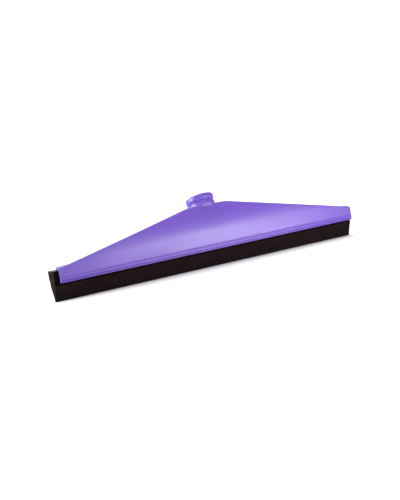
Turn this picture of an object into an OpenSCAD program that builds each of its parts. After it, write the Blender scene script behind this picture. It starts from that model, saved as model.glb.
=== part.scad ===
// Floor squeegee head with a slide-in twin-blade cassette and a socket for a screw-in handle.
// X runs along the blade, +Y to the back and +Z up. The blade edge stands on Z = 0,
// and the origin is the middle of that edge.

/* [Head] */
// Length of the head moulding
head_len = 394; // [300:1:600]
// Width of the cassette channel, front to back, over its walls
channel_w = 23.2; // [22.4:0.1:26]
// Height of the channel's front and back top corners
shoulder_z = 36; // [35.6:0.1:38]
// Rise of the crowned channel top above its corners
crown_rise = 2; // [0.6:0.1:3]
// Height of the channel's bottom edge above the blade edge
lip_z = 20.4; // [20:0.1:21]
// Height of the bead along the channel's bottom edge
bead_h = 7; // [4:0.1:9]
// How far that bead stands proud of the wall
bead_proud = 0.8; // [0.3:0.1:1.5]
// Length by which the channel's roof and back stop short of the front at each end
end_step = 8; // [3:0.5:14]

/* [Web] */
// Height of the flat middle of the web's top edge
apex_z = 73.6; // [60:0.1:76]
// Length of that flat
apex_w = 49.2; // [44:0.1:80]
// How far the web's front face has curved back at its top edge
web_sweep = 8.9; // [6:0.1:12]
// Thickness of the web
web_t = 3; // [2.2:0.1:4]
// Height of the web's edge above the shoulder at the ends of the head
web_end_h = 0.4; // [0.2:0.1:3]

/* [Ribs] */
// Number of stiffening ribs behind each wing
ribs_per_wing = 4; // [2:1:6]
// Thickness of a rib
rib_t = 2.2; // [1.6:0.1:3]
// Share of the web's height that a rib reaches
rib_reach = 0.82; // [0.5:0.01:0.9]

/* [Socket] */
// Angle at which the socket leans back
socket_lean = 21; // [19:0.5:24]
// Distance of the mouth's centre behind the blade
mouth_y = 15.8; // [15:0.1:17.5]
// Height of the mouth's centre
mouth_z = 81.7; // [80:0.1:84]
// Outer diameter of the collar round the mouth
collar_d = 34.4; // [33.8:0.1:38]
// Height of the collar along the socket
collar_h = 6.8; // [4:0.1:9]
// Outer diameter of the socket below the collar
neck_d = 32.8; // [31.4:0.1:33.4]
// Diameter of the threaded hole at the root of its thread
bore_d = 25.4; // [24:0.1:26.4]
// Depth of the threaded hole
bore_depth = 28; // [20:0.5:29]

/* [Cassette] */
// Length of the cassette, from its pull end to its far end
cassette_len = 400; // [396:1:410]
// Width of the carrier in the channel
carrier_w = 17.2; // [16.6:0.1:17.4]
// Height of the carrier's top
carrier_z = 34.2; // [33.6:0.1:34.3]
// Gap between the carrier and the channel on each side
slide_gap = 0.3; // [0.2:0.05:0.5]
// Thickness of the carrier's walls
carrier_wall = 1.5; // [1:0.1:2]
// Half of the thickness of the rib between the blades
half_rib = 0.8; // [0.5:0.1:1.2]

/* [Blades] */
// Width of each blade's edge where it meets the floor
tip_w = 1; // [0.6:0.1:2]
// Distance of each blade's outer shoulder from the middle
blade_shoulder = 8.2; // [7.4:0.1:8.6]
// Share of the outer face's slope that is curved
blade_curve = 0.3; // [0:0.05:0.6]

/* [Hidden] */

round_steps = 120;
overlap = 1;

// channel
wall_y = channel_w / 2;
crown_r = (pow(wall_y, 2) + pow(crown_rise, 2)) / (2 * crown_rise);
crown_centre_z = shoulder_z + crown_rise - crown_r;
cavity_half = carrier_w / 2 + slide_gap;
cavity_top = carrier_z + slide_gap + 0.1;
ledge_t = 2;
mouth_half = carrier_w / 2 - carrier_wall + slide_gap + 0.1;
bead_slope = 0.8;
edge_round = 0.5;
step_y = -1.5;

// web
web_foot_y = -wall_y + 0.2;
web_steps = 12;
web_rise = apex_z - shoulder_z;
web_r = (pow(web_rise, 2) + pow(web_sweep, 2)) / (2 * web_sweep);
half_len = head_len / 2;
wing_slope = (apex_z - shoulder_z - web_end_h) / (half_len - apex_w / 2);

// ribs
rib_first_x = 34;
rib_pitch = 32;
rib_foot_y = wall_y - 2.6;

// socket
socket_len = 55;
socket_flare = 0.6;
front_skin = 0.15;
neck_step = 4;
mouth_chamfer = 1;
cone_depth = 4;
cone_end_r = 9;

// cassette
flange_z = lip_z + ledge_t + slide_gap;
waist_half = carrier_w / 2 - carrier_wall;
slot_half = waist_half - carrier_wall;
carrier_foot_z = lip_z - 2.2;
slot_top = carrier_z - 3;
step_z = flange_z + carrier_wall;
cassette_x = half_len - cassette_len;
blade_steps = 10;

// Sweeps a profile drawn as (back, up) along the blade, from x = start.
module along_blade(start, length) {
    translate([start, 0, 0]) rotate([90, 0, 90]) linear_extrude(height = length) children();
}

// Repeats a profile at the front and at the back.
module both_sides() {
    children();
    mirror([1, 0]) children();
}

module channel_outline() {
    intersection() {
        translate([0, crown_centre_z]) circle(r = crown_r, $fn = 4 * round_steps);
        translate([-wall_y, lip_z]) square([channel_w, shoulder_z + crown_rise - lip_z]);
    }
    both_sides() polygon([
        [wall_y - overlap, lip_z],
        [wall_y + bead_proud - edge_round, lip_z],
        [wall_y + bead_proud, lip_z + edge_round],
        [wall_y + bead_proud, lip_z + bead_h - bead_slope],
        [wall_y, lip_z + bead_h],
        [wall_y - overlap, lip_z + bead_h]
    ]);
}

module channel_hollow() {
    translate([-cavity_half, lip_z + ledge_t]) square([2 * cavity_half, cavity_top - lip_z - ledge_t]);
    translate([-mouth_half, lip_z - overlap]) square([2 * mouth_half, ledge_t + 2 * overlap]);
}

// Cuts the roof and the back short at both ends, so that the cassette can be gripped there.
module end_steps() {
    for (side = [0, 1]) mirror([side, 0, 0])
        translate([half_len - end_step, step_y, 0]) cube([end_step + overlap, channel_w, 2 * shoulder_z]);
}

// Height of the web's top edge at a distance x from the middle.
function wing_z(x) = min(apex_z, shoulder_z + web_end_h + (half_len - abs(x)) * wing_slope);

// How far back the web's front face lies at height z.
function web_y(z) = web_foot_y + web_r - sqrt(pow(web_r, 2) - pow(max(0, z - shoulder_z), 2));

// Points of an arc about the web's centre of curvature, from the shoulder up to the apex.
function web_arc(r) = [
    for (i = [0 : web_steps])
        let (turn = asin(web_rise / r) * i / web_steps)
        [web_foot_y + web_r - r * cos(turn), shoulder_z + r * sin(turn)]
];

// Upright where it leaves the channel, and curving back towards its top edge.
module web_profile() {
    back = web_arc(web_r - web_t);
    polygon(concat(
        [[web_foot_y, shoulder_z - overlap]],
        web_arc(web_r),
        [for (i = [web_steps : -1 : 0]) back[i]],
        [[web_foot_y + web_t, shoulder_z - overlap]]
    ));
}

module web() {
    foot_z = shoulder_z - overlap;
    intersection() {
        along_blade(-half_len, head_len) web_profile();
        rotate([90, 0, 0]) linear_extrude(height = 4 * channel_w, center = true) polygon([
            [-half_len, foot_z],
            [-half_len, wing_z(half_len)],
            [-apex_w / 2, apex_z],
            [apex_w / 2, apex_z],
            [half_len, wing_z(half_len)],
            [half_len, foot_z]
        ]);
    }
}

// A stiffening rib in the plane x, from the channel's top to the back of the web.
module rib(x) {
    top_z = shoulder_z + rib_reach * (wing_z(x) - shoulder_z);
    back_y = web_y(top_z) + 1.1 * web_t;
    along_blade(x - rib_t / 2, rib_t) polygon([
        [web_foot_y + overlap, shoulder_z],
        [web_y(top_z) + overlap, top_z],
        [back_y, top_z],
        [rib_foot_y, shoulder_z + overlap / 2],
        [rib_foot_y, shoulder_z - overlap]
    ]);
}

module wing_ribs() {
    for (side = [-1, 1], i = [0 : ribs_per_wing - 1]) rib(side * (rib_first_x + i * rib_pitch));
}

// Moves its children to the mouth, with +Z along the socket and out of it.
module at_mouth() {
    translate([0, mouth_y, mouth_z]) rotate([-socket_lean, 0, 0]) children();
}

// Up to the apex the socket's front lies in the web's front face, and above it the whole neck shows.
// Its foot narrows at the back to fit on the channel.
module socket_outline() {
    top_z = 2 * apex_z;
    intersection() {
        at_mouth() translate([0, 0, -socket_len]) cylinder(d = neck_d, h = socket_len, $fn = round_steps);
        along_blade(-neck_d, 2 * neck_d) polygon(concat(
            [[web_foot_y - front_skin, shoulder_z - overlap]],
            web_arc(web_r + front_skin),
            [
                [web_y(apex_z) - neck_step, apex_z + neck_step],
                [web_y(apex_z) - neck_step, top_z],
                [socket_flare * (top_z - shoulder_z) - web_foot_y, top_z],
                [-web_foot_y, shoulder_z],
                [-web_foot_y, shoulder_z - overlap]
            ]
        ));
    }
    at_mouth() translate([0, 0, -collar_h]) cylinder(d = collar_d, h = collar_h, $fn = round_steps);
}

module socket_hole() {
    at_mouth() {
        translate([0, 0, -bore_depth]) cylinder(d = bore_d, h = bore_depth + overlap, $fn = round_steps);
        translate([0, 0, -mouth_chamfer])
            cylinder(d1 = bore_d, d2 = bore_d + 2 * mouth_chamfer, h = mouth_chamfer, $fn = round_steps);
        translate([0, 0, -bore_depth - cone_depth])
            cylinder(r1 = cone_end_r, r2 = bore_d / 2, h = cone_depth, $fn = round_steps);
    }
}

// The head moulding without its socket: cassette channel, leaning web and ribs.
module squeegee_head() {
    color([0.49, 0.37, 0.80]) difference() {
        union() {
            along_blade(-half_len, head_len) channel_outline();
            difference() {
                union() {
                    web();
                    wing_ribs();
                }
                socket_outline();
            }
        }
        along_blade(-half_len - overlap, head_len + 2 * overlap) channel_hollow();
        end_steps();
    }
}

// The moulding's threaded handle socket, which stands on the channel and between the wings.
module handle_socket() {
    color([0.49, 0.37, 0.80]) difference() {
        socket_outline();
        along_blade(-neck_d, 2 * neck_d) channel_outline();
        socket_hole();
    }
}

// Rigid carrier that slides in the channel and grips the roots of both blades.
module blade_carrier() {
    color([0.10, 0.09, 0.09]) along_blade(cassette_x, cassette_len) difference() {
        union() {
            translate([-carrier_w / 2, flange_z]) square([carrier_w, carrier_z - flange_z]);
            translate([-waist_half, carrier_foot_z]) square([2 * waist_half, slot_top - carrier_foot_z]);
        }
        both_sides() polygon([
            [half_rib, carrier_foot_z - overlap],
            [half_rib, slot_top],
            [waist_half, slot_top],
            [waist_half, step_z],
            [slot_half, step_z],
            [slot_half, carrier_foot_z - overlap]
        ]);
    }
}

// Distance of a blade's outer face from the middle, at the share t of its free height.
function blade_face(t) = tip_w + (blade_shoulder - tip_w) * ((1 - blade_curve) * t + blade_curve * pow(t, 2));

// One blade's profile: a wedge below the carrier and a root that fills the carrier's slot.
module blade_profile() {
    shoulder = carrier_foot_z;
    polygon(concat(
        [[0, 0]],
        [for (i = [0 : blade_steps]) [blade_face(i / blade_steps), shoulder * i / blade_steps]],
        [
            [slot_half, shoulder],
            [slot_half, step_z],
            [waist_half, step_z],
            [waist_half, slot_top],
            [half_rib, slot_top],
            [half_rib, shoulder],
            [0, shoulder]
        ]
    ));
}

module front_blade() {
    color([0.12, 0.09, 0.09]) along_blade(cassette_x, cassette_len) mirror([1, 0]) blade_profile();
}

module rear_blade() {
    color([0.12, 0.09, 0.09]) along_blade(cassette_x, cassette_len) blade_profile();
}

squeegee_head();
handle_socket();
blade_carrier();
front_blade();
rear_blade();
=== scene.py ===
"""Looks of the floor squeegee head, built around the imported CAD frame."""
import math

import bpy
import numpy as np
from mathutils import Matrix, Vector, noise


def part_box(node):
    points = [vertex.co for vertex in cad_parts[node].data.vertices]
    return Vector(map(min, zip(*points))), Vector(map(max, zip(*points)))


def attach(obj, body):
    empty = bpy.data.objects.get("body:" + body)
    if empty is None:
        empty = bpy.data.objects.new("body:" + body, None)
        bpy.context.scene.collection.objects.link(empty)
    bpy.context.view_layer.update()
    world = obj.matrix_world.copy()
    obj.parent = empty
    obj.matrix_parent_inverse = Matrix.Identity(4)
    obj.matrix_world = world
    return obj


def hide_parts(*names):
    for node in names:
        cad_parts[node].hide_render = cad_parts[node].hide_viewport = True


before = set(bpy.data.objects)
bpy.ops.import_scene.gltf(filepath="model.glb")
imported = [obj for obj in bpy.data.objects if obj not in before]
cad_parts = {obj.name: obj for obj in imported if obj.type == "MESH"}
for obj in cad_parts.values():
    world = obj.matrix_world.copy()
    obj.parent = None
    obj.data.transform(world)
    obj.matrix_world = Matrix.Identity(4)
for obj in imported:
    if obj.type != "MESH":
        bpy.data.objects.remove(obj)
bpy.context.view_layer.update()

MM = 0.001

# ---------------------------------------------------------------- sizes, in mm, as in the CAD source
HEAD_HALF = 197.0
WALL_Y = 11.6
LIP_Z = 20.4
SHOULDER_Z = 36.0
CROWN_RISE = 2.0
END_STEP, STEP_Y = 8.0, -1.5
CAVITY_HALF, CAVITY_TOP = 8.9, 34.6
MOUTH_HALF, LEDGE_Z = 7.5, 22.4
APEX_Z, APEX_HALF, WEB_END_H = 73.6, 24.6, 0.4
WEB_T, WEB_SWEEP = 3.0, 8.9
RIB_XS = [34.0, 66.0, 98.0, 130.0]
RIB_T, RIB_REACH, RIB_FOOT_Y = 2.2, 0.82, 9.0
MOUTH_Y, MOUTH_Z = 15.8, 81.7
LEAN = math.radians(21)
COLLAR_R, COLLAR_H, NECK_R = 17.2, 6.8, 16.4
BORE_R, BORE_DEPTH, CONE_DEPTH, CONE_END_R = 12.7, 28.0, 4.0, 9.0
CASSETTE_X = (-203.0, 197.0)
CARRIER_HALF, CARRIER_TOP, FLANGE_Z = 8.6, 34.2, 22.7
WAIST_HALF, SLOT_HALF, HALF_RIB = 7.1, 5.6, 0.8
FOOT_Z, SLOT_TOP, STEP_Z = 18.2, 31.2, 24.2
TIP_W, BLADE_SHOULDER, BLADE_CURVE = 1.0, 8.2, 0.3

WEB_FOOT_Y = -WALL_Y + 0.2
WEB_RISE = APEX_Z - SHOULDER_Z
WEB_R = (WEB_RISE ** 2 + WEB_SWEEP ** 2) / (2 * WEB_SWEEP)
WING_SLOPE = (WEB_RISE - WEB_END_H) / (HEAD_HALF - APEX_HALF)

# shapes that only the visual model has: draft, fillets' roots, thread and small cuts
DRAFT = 0.042
DRAFT_Z = SHOULDER_Z + DRAFT * WEB_R
SHOULDER_IN = 0.13
THREAD_PITCH, THREAD_H = 5.0, 1.25
WEB_ROOT_Z = 30.0
RIB_FOOT_DEPTH = 1.2
RIB_DRAFT = 0.008
WAIST_CUT = 1.3
FOOT_SLOPE = 0.6
END_ROUND = 0.6


# ---------------------------------------------------------------- distance fields
def rounded(corners, steps=5):
    """Closed outline from (y, z, radius) corners, each turned into an arc."""
    out = []
    n = len(corners)
    for i, (y, z, r) in enumerate(corners):
        p = np.array([y, z], float)
        if r <= 0:
            out.append(p)
            continue
        a = np.array(corners[i - 1][:2], float) - p
        b = np.array(corners[(i + 1) % n][:2], float) - p
        la, lb = np.linalg.norm(a), np.linalg.norm(b)
        a, b = a / la, b / lb
        half = math.acos(max(-1, min(1, float(a @ b)))) / 2
        cut = min(r / math.tan(half), 0.49 * la, 0.49 * lb)
        r = cut * math.tan(half)
        mid = (a + b) / np.linalg.norm(a + b)
        centre = p + mid * (r / math.sin(half))
        s, e = p + a * cut - centre, p + b * cut - centre
        t0 = math.atan2(s[1], s[0])
        turn = (math.atan2(e[1], e[0]) - t0 + math.pi) % (2 * math.pi) - math.pi
        for k in range(steps + 1):
            t = t0 + turn * k / steps
            out.append(centre + r * np.array([math.cos(t), math.sin(t)]))
    return np.array(out)


def outline_distance(ys, zs, points):
    """Signed distance to a closed outline on the grid of ys by zs, negative inside."""
    y, z = np.meshgrid(ys, zs, indexing="ij")
    best = np.full(y.shape, 1e9)
    inside = np.zeros(y.shape, bool)
    for a, b in zip(points, np.roll(points, -1, axis=0)):
        d = b - a
        t = np.clip(((y - a[0]) * d[0] + (z - a[1]) * d[1]) / max(float(d @ d), 1e-12), 0, 1)
        best = np.minimum(best, np.hypot(y - a[0] - t * d[0], z - a[1] - t * d[1]))
        crosses = (a[1] > z) != (b[1] > z)
        with np.errstate(divide="ignore", invalid="ignore"):
            at = (b[0] - a[0]) * (z - a[1]) / (b[1] - a[1]) + a[0]
        inside ^= crosses & (y < at)
    return np.where(inside, -best, best)


def meet(a, b, r):
    """Intersection of two fields whose common edge is rounded by r."""
    a, b = a + r, b + r
    return np.hypot(np.maximum(a, 0), np.maximum(b, 0)) + np.minimum(np.maximum(a, b), 0) - r


def join(a, b, k):
    """Union of two fields with a smooth fillet of size k."""
    h = np.maximum(k - np.abs(a - b), 0) / k
    return np.minimum(a, b) - h * h * k / 4


def carve(a, b, k):
    """a without b, with a softened edge of size k."""
    return -join(-a, b, k)


def ease(x, lo, hi):
    """Smooth step from 0 at lo to 1 at hi."""
    t = np.clip((x - lo) / (hi - lo), 0, 1)
    return t * t * (3 - 2 * t)


def ticks(*spans):
    """Grid positions from (start, end, step) spans that follow on from one another."""
    out = []
    for lo, hi, step in spans:
        n = max(1, round((hi - lo) / step))
        out.extend(np.linspace(lo, hi, n, endpoint=False))
    return np.array(out + [spans[-1][1]])


def nets(name, xs, ys, zs, field):
    """Mesh of field's zero surface (surface nets), with quads facing outwards. Sizes are in mm."""
    shape = (len(xs), len(ys), len(zs))
    field = field.reshape(shape)
    step = np.array([(shape[1] - 1) * (shape[2] - 1), shape[2] - 1, 1])
    grid = (xs, ys, zs)
    cells, spots, quads = [], [], []
    for axis in range(3):
        lo = [slice(None)] * 3
        hi = [slice(None)] * 3
        lo[axis], hi[axis] = slice(0, -1), slice(1, None)
        f0, f1 = field[tuple(lo)], field[tuple(hi)]
        at = np.nonzero((f0 < 0) != (f1 < 0))
        v0, v1 = f0[at], f1[at]
        t = v0 / (v0 - v1)
        point = np.stack([grid[a][at[a]] for a in range(3)], 1).astype(float)
        nxt = grid[axis][at[axis] + 1]
        point[:, axis] += (nxt - point[:, axis]) * t
        base = at[0] * step[0] + at[1] * step[1] + at[2] * step[2]
        u, w = step[(axis + 1) % 3], step[(axis + 2) % 3]
        ring = np.stack([base - u - w, base - w, base, base - u], 1)
        ring[v0 > 0] = ring[v0 > 0][:, ::-1]
        quads.append(ring)
        cells.append(ring.ravel())
        spots.append(np.repeat(point, 4, axis=0))
    cells, spots = np.concatenate(cells), np.concatenate(spots)
    _, where = np.unique(cells, return_inverse=True)
    count = np.bincount(where)
    verts = np.stack([np.bincount(where, spots[:, a]) / count for a in range(3)], 1)
    faces = where.reshape(-1, 4)
    return mesh_object(name, verts, faces)


def mesh_object(name, verts_mm, quads):
    """Smooth-shaded object from points in mm and an array of quads."""
    mesh = bpy.data.meshes.new(name)
    mesh.vertices.add(len(verts_mm))
    mesh.vertices.foreach_set("co", (np.asarray(verts_mm) * MM).astype(np.float32).ravel())
    mesh.loops.add(quads.size)
    mesh.loops.foreach_set("vertex_index", quads.astype(np.int32).ravel())
    mesh.polygons.add(len(quads))
    mesh.polygons.foreach_set("loop_start", np.arange(0, quads.size, 4, dtype=np.int32))
    mesh.update(calc_edges=True)
    mesh.polygons.foreach_set("use_smooth", np.ones(len(quads), bool))
    mesh.validate()
    obj = bpy.data.objects.new(name, mesh)
    bpy.context.scene.collection.objects.link(obj)
    return obj


# ---------------------------------------------------------------- the head moulding
def channel_outline():
    """Section of the cassette channel with its crown, bead and lips."""
    radius = (WALL_Y ** 2 + CROWN_RISE ** 2) / (2 * CROWN_RISE)
    reach = math.asin(WALL_Y / radius)
    crown = []
    for k in range(13):
        turn = reach * (1 - 2 * k / 12)
        rise = SHOULDER_Z + CROWN_RISE - radius + radius * math.cos(turn)
        crown.append((radius * math.sin(turn), rise, 0))
    crown[0] = (WALL_Y - SHOULDER_IN, SHOULDER_Z, 1.0)
    crown[-1] = (SHOULDER_IN - WALL_Y, SHOULDER_Z, 1.0)
    side = [
        (MOUTH_HALF, LIP_Z, 0.4),
        (WALL_Y + 0.60, LIP_Z, 0.5),
        (WALL_Y + 0.60, 21.5, 0.4),
        (WALL_Y - 0.50, 21.9, 0.2),
        (WALL_Y - 0.50, 22.6, 0.2),
        (WALL_Y + 0.80, 23.2, 0.5),
        (WALL_Y + 0.50, 25.1, 0.9),
        (WALL_Y - 0.15, 25.7, 0.3),
        (WALL_Y - 0.15, 26.2, 0.3),
        (WALL_Y + 0.22, 27.1, 0.9),
    ]
    inner = [
        (CAVITY_HALF, CAVITY_TOP, 0.5),
        (CAVITY_HALF, LEDGE_Z, 0.3),
        (MOUTH_HALF, LEDGE_Z, 0.3),
    ]
    right = side + crown
    left = [(-y, z, r) for y, z, r in reversed(side)]
    hollow_left = [(-y, z, r) for y, z, r in reversed(inner)]
    return rounded(right + left + hollow_left + inner)


def wing_top(x_from_middle):
    """Height of the wings' sloping top line."""
    return SHOULDER_Z + WEB_END_H + (HEAD_HALF - x_from_middle) * WING_SLOPE


def arc_radius(y, z):
    """Distance from the axis of the web's curve, with the wall's draft continued below it."""
    above_draft = np.maximum(z, DRAFT_Z)
    return np.hypot(y - WEB_FOOT_Y - WEB_R + DRAFT * (above_draft - z), above_draft - SHOULDER_Z)


def web_field(ax, z, rho):
    """The web: a curved sheet that ends at the wings' top line."""
    sheet = np.abs(rho - (WEB_R - WEB_T / 2)) - WEB_T / 2
    sheet = np.maximum(sheet, WEB_ROOT_Z - z)
    past_wing = (z - wing_top(ax)) / math.hypot(1, WING_SLOPE)
    past_top = -join(-past_wing, APEX_Z - z, 1.2)
    return meet(sheet, past_top, 1.35)


def rib_field(x, y, z, rho, at):
    """One stiffening rib behind a wing, centred on x = at."""
    drop = RIB_REACH * (wing_top(abs(at)) - SHOULDER_Z)
    top = SHOULDER_Z + drop
    back = WEB_FOOT_Y + WEB_R - math.sqrt(WEB_R ** 2 - drop ** 2) + 1.1 * WEB_T
    dy, dz = RIB_FOOT_Y - back, (SHOULDER_Z + 0.5) - top
    slope = ((y - back) * -dz + (z - top) * dy) / math.hypot(dy, dz)
    thick = np.abs(x - at) - (RIB_T / 2 - RIB_DRAFT * (z - SHOULDER_Z))
    rib = meet(thick, slope, 0.5)
    rib = np.maximum(np.maximum(rib, z - top), WEB_FOOT_Y + 1.2 - y)
    rib = np.maximum(rib, np.maximum(WEB_ROOT_Z - z, rho - WEB_R + 1))
    # the foot ends inside the channel's wall, so it doesn't come out at the back
    return np.maximum(rib, y - RIB_FOOT_Y - RIB_FOOT_DEPTH)


def neck_field(y, z, rho, t, q):
    """The socket's neck, cut off in front of the web and above its foot."""
    waist = WAIST_CUT * ease(t, -9.4, -7.4) * (1 - ease(t, -7.1, -6.5))
    neck = np.maximum(q - (NECK_R - waist), t + 1.0)
    proud = -2.4 + 2.2 * ease(z, 64, 72) + 6.5 * ease(z, 71.5, 79)
    neck = carve(neck, proud + WEB_R - rho, 2.0)
    flare = (y - (WALL_Y - 0.4)) - FOOT_SLOPE * (z - SHOULDER_Z)
    neck = carve(neck, -flare / math.hypot(1, FOOT_SLOPE), 2.0)
    return np.maximum(neck, CAVITY_TOP + 0.2 - z)


def bore_field(x, across, t, q):
    """The hole: a threaded wall with a flared mouth, and a cone at the bottom."""
    angle = np.arctan2(across, x) / (2 * math.pi)
    phase = np.abs(((t / THREAD_PITCH + angle) % 1.0) - 0.5) * 2
    ridge = ease(phase, 0.35, 0.75) * ease(-t, 1.5, 4.0)
    ridge = ridge * ease(t, -BORE_DEPTH + 0.5, -BORE_DEPTH + 4)
    wall = q - (BORE_R - THREAD_H * ridge) - np.maximum(t + 1.2, 0) * 0.9
    end_t = -BORE_DEPTH - CONE_DEPTH
    cone = q - (CONE_END_R + (t - end_t) * (BORE_R - CONE_END_R) / CONE_DEPTH)
    return np.maximum(np.maximum(wall, cone * 0.66), end_t - t)


def head_field(xs, ys, zs):
    """The whole moulding as one field, on a grid of positions in mm."""
    x = xs[:, None, None]
    y = ys[None, :, None]
    z = zs[None, None, :]
    ax = np.abs(x)
    rho = arc_radius(y, z)
    body = outline_distance(ys, zs, channel_outline())[None]
    out = join(body, web_field(ax, z, rho), 0.05 + 2.5 * ease(y, -10.6, -8.6))
    for at in [-r for r in RIB_XS] + RIB_XS:
        out = join(out, rib_field(x, y, z, rho, at), 1.4)

    # t runs along the socket's axis from its mouth, q is the distance from that axis
    lean_y, lean_z = math.sin(LEAN), math.cos(LEAN)
    t = (y - MOUTH_Y) * lean_y + (z - MOUTH_Z) * lean_z
    across = (y - MOUTH_Y) * lean_z - (z - MOUTH_Z) * lean_y
    q = np.hypot(x, across)
    fillet = 0.5 + 2.6 * ease(z, 71.5, 75.5) + 2.6 * (1 - ease(z, 38, 42))
    out = join(out, neck_field(y, z, rho, t, q), fillet)
    side = q - COLLAR_R + 0.35 * ease(t, -4.4, -5.4)
    out = join(out, meet(side, np.abs(t + COLLAR_H / 2) - COLLAR_H / 2, 1.3), 0.3)
    out = carve(out, bore_field(x, across, t, q), 0.4)

    # both ends are cut once, after all the joins, so that no join bulges past them
    out = meet(out, ax - HEAD_HALF, END_ROUND)
    out = carve(out, np.maximum(HEAD_HALF - END_STEP - ax, STEP_Y - y), END_ROUND)
    cavity = np.maximum(np.abs(y) - CAVITY_HALF, np.maximum(z - CAVITY_TOP, LEDGE_Z - z))
    return np.maximum(out, -cavity)


def build_head():
    """Meshes the moulding, finely at the ends, the ribs, the socket and the bead."""
    spans = [(-198.6, -187.5, 0.45)]
    last = -187.5
    near_ribs = [(at - 2.4, at + 2.4) for r in RIB_XS for at in (-r, r)]
    fine = sorted(near_ribs + [(-27, 27)])
    for lo, hi in fine:
        spans += [(last, lo, 1.7), (lo, hi, 0.5)]
        last = hi
    spans += [(last, 187.5, 1.7), (187.5, 198.6, 0.45)]
    xs = ticks(*spans)
    ys = ticks((-13.6, -10.4, 0.25), (-10.4, 10.4, 0.45), (10.4, 13.6, 0.25), (13.6, 33.2, 0.5))
    zs = ticks((19.6, 28.6, 0.22), (28.6, 89.2, 0.45))
    parts = [head_field(xs[i:i + 48], ys, zs).astype(np.float32) for i in range(0, len(xs), 48)]
    return nets("head_moulding", xs, ys, zs, np.concatenate(parts))


# ---------------------------------------------------------------- the cassette
def run_ticks(start, end, fine, coarse, reach=3.0):
    """Positions along a profile, fine near its ends and coarse between."""
    return ticks((start - 0.8, start + reach, fine), (start + reach, end - reach, coarse),
                 (end - reach, end + 0.8, fine))


def extruded(name, outline, span, radius, step, coarse):
    """Mesh of an outline run along X over span, with its end edges rounded."""
    lo, hi = outline.min(0) - 0.8, outline.max(0) + 0.8
    xs = run_ticks(span[0], span[1], step, coarse)
    ys, zs = ticks((lo[0], hi[0], step)), ticks((lo[1], hi[1], step))
    section = outline_distance(ys, zs, outline)[None]
    x = xs[:, None, None]
    return nets(name, xs, ys, zs, meet(section, np.maximum(span[0] - x, x - span[1]), radius))


def carrier_outline():
    """Section of the carrier, with a slot for each blade."""
    half = [
        (HALF_RIB, FOOT_Z, 0.3), (HALF_RIB, SLOT_TOP, 0.3), (WAIST_HALF, SLOT_TOP, 0.3),
        (WAIST_HALF, STEP_Z, 0.3), (SLOT_HALF, STEP_Z, 0.3), (SLOT_HALF, FOOT_Z, 0.3),
        (WAIST_HALF, FOOT_Z, 0.4), (WAIST_HALF, FLANGE_Z, 0.3), (CARRIER_HALF, FLANGE_Z, 0.4),
        (CARRIER_HALF, CARRIER_TOP, 0.8),
    ]
    return rounded(half + [(-y, z, r) for y, z, r in reversed(half)], 4)


def blade_outline(side):
    """Section of one blade: its wedge, and its root in the carrier's slot."""
    points = [(0.02, 0.0, 0.15)]
    for i in range(11):
        t = i / 10
        face = TIP_W + (BLADE_SHOULDER - TIP_W) * ((1 - BLADE_CURVE) * t + BLADE_CURVE * t * t)
        points.append((face, FOOT_Z * t, 0.35 if i in (0, 10) else 0))
    points += [(SLOT_HALF, FOOT_Z, 0), (SLOT_HALF, STEP_Z, 0), (WAIST_HALF, STEP_Z, 0),
               (WAIST_HALF, SLOT_TOP, 0), (HALF_RIB, SLOT_TOP, 0), (HALF_RIB, FOOT_Z, 0), (0.02, FOOT_Z, 0)]
    out = rounded(points, 4)
    out[:, 0] *= side
    return out if side > 0 else out[::-1]


def roughen(obj, amount, scale, seed, low, high):
    """Moves the vertices by a little noise along their normals, inside the CAD piece's box."""
    mesh = obj.data
    n = len(mesh.vertices)
    co = np.empty(n * 3, np.float32)
    no = np.empty(n * 3, np.float32)
    mesh.vertices.foreach_get("co", co)
    mesh.vertices.foreach_get("normal", no)
    co, no = co.reshape(-1, 3), no.reshape(-1, 3)
    shift = np.array([noise.noise(Vector(p) * scale + Vector((seed, 0, 0)))
                      + 0.5 * noise.noise(Vector(p) * scale * 3.1 + Vector((0, seed, 0))) for p in co])
    co = co + no * (shift * amount)[:, None]
    co = np.clip(co, np.array(low), np.array(high))
    mesh.vertices.foreach_set("co", co.astype(np.float32).ravel())
    mesh.update()


# ---------------------------------------------------------------- materials
def material(name, colour, roughness, **inputs):
    """A Principled material; extra inputs are given with _ for each space."""
    m = bpy.data.materials.new(name)
    m.use_nodes = True
    bsdf = m.node_tree.nodes["Principled BSDF"]
    bsdf.inputs["Base Color"].default_value = (*colour, 1)
    bsdf.inputs["Roughness"].default_value = roughness
    for key, value in inputs.items():
        bsdf.inputs[key.replace("_", " ")].default_value = value
    return m, m.node_tree, bsdf


def node(tree, kind, **values):
    """Adds a node, and sets its inputs or its own properties by name."""
    n = tree.nodes.new(kind)
    for key, value in values.items():
        if key in n.inputs:
            n.inputs[key].default_value = value
        else:
            setattr(n, key, value)
    return n


def noise_at(tree, coords, scale, detail=3.0, rough=0.5, stretch=None):
    """Noise in object space, optionally stretched along an axis."""
    source = coords.outputs["Object"]
    if stretch:
        mapping = node(tree, "ShaderNodeMapping")
        mapping.inputs["Scale"].default_value = stretch
        tree.links.new(source, mapping.inputs["Vector"])
        source = mapping.outputs["Vector"]
    n = node(tree, "ShaderNodeTexNoise", Scale=scale, Detail=detail, Roughness=rough)
    tree.links.new(source, n.inputs["Vector"])
    return n.outputs["Fac"]


def ramp(tree, source, stops):
    """Colour ramp; a stop holds a position and one level or three."""
    n = node(tree, "ShaderNodeValToRGB")
    while len(n.color_ramp.elements) < len(stops):
        n.color_ramp.elements.new(0.5)
    for e, (at, colour) in zip(n.color_ramp.elements, stops):
        e.position = at
        e.color = (*colour, 1) if len(colour) == 3 else (colour[0],) * 3 + (1,)
    tree.links.new(source, n.inputs["Fac"])
    return n.outputs["Color"]


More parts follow.
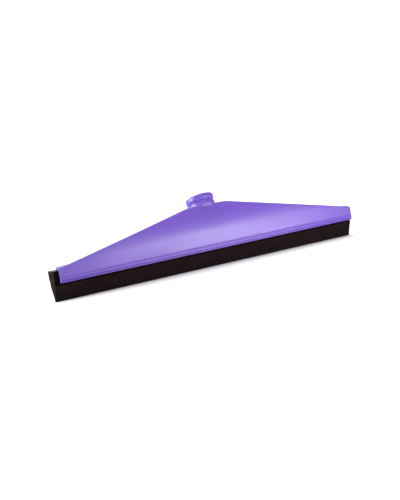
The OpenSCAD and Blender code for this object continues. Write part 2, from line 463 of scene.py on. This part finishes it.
def bump(tree, layers):
    """Chains bump nodes; each layer is (height output, distance in metres, strength)."""
    normal = None
    for height, distance, strength in layers:
        n = node(tree, "ShaderNodeBump", Strength=strength, Distance=distance)
        tree.links.new(height, n.inputs["Height"])
        if normal is not None:
            tree.links.new(normal, n.inputs["Normal"])
        normal = n.outputs["Normal"]
    return normal


def shade(colour, by):
    return tuple(min(1.0, c * by) for c in colour)


def head_plastic():
    base = (0.108, 0.047, 0.375)
    m, tree, bsdf = material("satin_purple_plastic", base, 0.40, IOR=1.6)
    coords = node(tree, "ShaderNodeTexCoord")
    cloud = noise_at(tree, coords, 22, 4)
    grain = noise_at(tree, coords, 900, 3, 0.6)
    flow = noise_at(tree, coords, 60, 3, 0.5, (0.15, 1, 1))
    tone = ramp(tree, cloud, [(0.3, shade(base, 0.94)), (0.7, shade(base, 1.06))])
    tree.links.new(tone, bsdf.inputs["Base Color"])
    rough = ramp(tree, flow, [(0.3, (0.36,)), (0.7, (0.44,))])
    tree.links.new(rough, bsdf.inputs["Roughness"])
    tree.links.new(bump(tree, [(grain, 0.00004, 0.35), (flow, 0.00006, 0.25)]), bsdf.inputs["Normal"])
    return m


def carrier_plastic():
    base = (0.0030, 0.0016, 0.0016)
    m, tree, bsdf = material("satin_black_plastic", base, 0.42, Specular_IOR_Level=0.02)
    coords = node(tree, "ShaderNodeTexCoord")
    drag = noise_at(tree, coords, 300, 4, 0.6, (0.04, 1, 1))
    cloud = noise_at(tree, coords, 30, 3)
    tone = ramp(tree, cloud, [(0.3, shade(base, 0.8)), (0.7, shade(base, 1.3))])
    tree.links.new(tone, bsdf.inputs["Base Color"])
    tree.links.new(ramp(tree, drag, [(0.3, (0.36,)), (0.7, (0.5,))]), bsdf.inputs["Roughness"])
    tree.links.new(bump(tree, [(drag, 0.00008, 0.4)]), bsdf.inputs["Normal"])
    return m


def blade_rubber():
    base = (0.0125, 0.0070, 0.0075)
    m, tree, bsdf = material("black_foam_rubber", base, 0.88, Specular_IOR_Level=0.04)
    coords = node(tree, "ShaderNodeTexCoord")
    pores = node(tree, "ShaderNodeTexVoronoi", Scale=1500.0)
    tree.links.new(coords.outputs["Object"], pores.inputs["Vector"])
    coarse = node(tree, "ShaderNodeTexVoronoi", Scale=520.0)
    tree.links.new(coords.outputs["Object"], coarse.inputs["Vector"])
    cloud = noise_at(tree, coords, 90, 5, 0.65)
    tone = ramp(tree, cloud, [(0.25, shade(base, 0.7)), (0.5, base), (0.8, shade(base, 1.5))])
    cuts = noise_at(tree, coords, 260, 3, 0.6, (0.05, 1, 1))
    streaks = ramp(tree, cuts, [(0.35, (0.75, 0.75, 0.75)), (0.7, (1.0, 1.0, 1.0))])
    both = node(tree, "ShaderNodeVectorMath", operation="MULTIPLY")
    tree.links.new(tone, both.inputs[0])
    tree.links.new(streaks, both.inputs[1])
    tree.links.new(both.outputs["Vector"], bsdf.inputs["Base Color"])
    tree.links.new(ramp(tree, cloud, [(0.3, (0.82,)), (0.7, (0.93,))]), bsdf.inputs["Roughness"])
    layers = [
        (pores.outputs["Distance"], 0.00025, 0.6),
        (coarse.outputs["Distance"], 0.0003, 0.35),
        (cloud, 0.0002, 0.3),
    ]
    tree.links.new(bump(tree, layers), bsdf.inputs["Normal"])
    return m


def floor_material():
    m, tree, bsdf = material("pale_floor", (0.90, 0.90, 0.90), 0.75)
    coords = node(tree, "ShaderNodeTexCoord")
    grain = noise_at(tree, coords, 40, 3)
    tone = ramp(tree, grain, [(0.3, (0.895,)), (0.7, (0.905,))])
    tree.links.new(tone, bsdf.inputs["Base Color"])
    return m


# ---------------------------------------------------------------- pieces
head = build_head()
head.data.materials.append(head_plastic())
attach(head, "head")
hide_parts("squeegee_head", "handle_socket")

carrier = extruded("cassette_carrier", carrier_outline(), CASSETTE_X, 0.4, 0.3, 4.0)
carrier.data.materials.append(carrier_plastic())
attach(carrier, "cassette")
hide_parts("blade_carrier")

foam = blade_rubber()
BLADES = [("front_foam_blade", "front_blade", -1, 3.1), ("rear_foam_blade", "rear_blade", 1, 7.7)]
for piece_name, cad_node, side, seed in BLADES:
    blade = extruded(piece_name, blade_outline(side), CASSETTE_X, 0.35, 0.4, 2.5)
    low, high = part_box(cad_node)
    roughen(blade, 0.00012, 120, seed, low, high)
    blade.data.materials.append(foam)
    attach(blade, "cassette")
    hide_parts(cad_node)

# ---------------------------------------------------------------- stage, light and camera
def sweep():
    """A pale floor that curves up into a backdrop."""
    profile = [(-4.0, 0.0), (-2.0, 0.0), (0.0, 0.0), (1.6, 0.0)]
    turns = np.linspace(0, math.pi / 2, 17)[1:]
    profile += [(1.6 + 1.2 * math.sin(a), 1.2 - 1.2 * math.cos(a)) for a in turns]
    profile += [(2.8, 2.5), (2.8, 5.0)]
    xs = np.linspace(-5, 5, 11)
    verts = np.array([(x, y, z) for x in xs for y, z in profile])
    n = len(profile)
    quads = np.array([(i * n + j, (i + 1) * n + j, (i + 1) * n + j + 1, i * n + j + 1)
                      for i in range(len(xs) - 1) for j in range(n - 1)])
    obj = mesh_object("floor_sweep", verts / MM, quads)
    obj.data.materials.append(floor_material())
    return obj


def softbox(name, at, look, size, power):
    """Rectangular area light at one place, aimed at another."""
    data = bpy.data.lights.new(name, "AREA")
    data.shape = "RECTANGLE"
    data.size, data.size_y = size
    data.energy = power
    obj = bpy.data.objects.new(name, data)
    obj.location = at
    obj.rotation_mode = "QUATERNION"
    obj.rotation_quaternion = (Vector(look) - Vector(at)).to_track_quat("-Z", "Y")
    obj.visible_camera = False
    bpy.context.scene.collection.objects.link(obj)
    return obj


sweep()
softbox("top", (0.1, -0.3, 2.2), (0, 0, 0), (2.4, 2.4), 34)
softbox("backdrop", (0.6, 0.9, 1.9), (1.0, 2.6, 0.5), (3.0, 1.2), 75)
softbox("front_fill", (-0.2, -1.3, 1.2), (0, 0, 0.05), (1.2, 0.8), 3.5)
softbox("left", (-1.3, -0.05, 0.30), (-0.1, 0, 0.04), (0.6, 0.5), 3.5)
softbox("left_edge", (-0.9, 0.20, 0.16), (-0.15, 0, 0.04), (0.5, 0.3), 9)
softbox("strip_right", (0.26, -0.50, 0.05), (0.05, 0, 0.03), (0.30, 0.08), 0.48)
softbox("strip_middle", (0.16, -0.36, 0.035), (0.05, 0, 0.03), (0.30, 0.05), 0.50)
softbox("strip_low", (0.15, -0.26, 0.02), (0.05, 0, 0.02), (0.24, 0.03), 0.19)

world = bpy.data.worlds.new("studio")
bpy.context.scene.world = world
world.use_nodes = True
world.node_tree.nodes["Background"].inputs["Color"].default_value = (1, 1, 1, 1)
world.node_tree.nodes["Background"].inputs["Strength"].default_value = 0.38

# the camera stands in front of the left end, looks a little down and is rolled
CAMERA_AT = (-0.5531, -1.0197, 0.1450)
AZIMUTH, PITCH, ROLL = math.radians(27.6995), math.radians(-6.0911), math.radians(-9.2298)
camera_data = bpy.data.cameras.new("camera")
camera = bpy.data.objects.new("camera", camera_data)
turn = Matrix.Rotation(-AZIMUTH, 4, "Z") @ Matrix.Rotation(math.pi / 2 + PITCH, 4, "X")
camera.matrix_world = Matrix.Translation(CAMERA_AT) @ turn @ Matrix.Rotation(ROLL, 4, "Z")
camera_data.lens = 71.2
camera_data.sensor_width = 36
camera_data.clip_start, camera_data.clip_end = 0.05, 50
bpy.context.scene.collection.objects.link(camera)
bpy.context.scene.camera = camera
bpy.context.scene.view_settings.view_transform = "Standard"
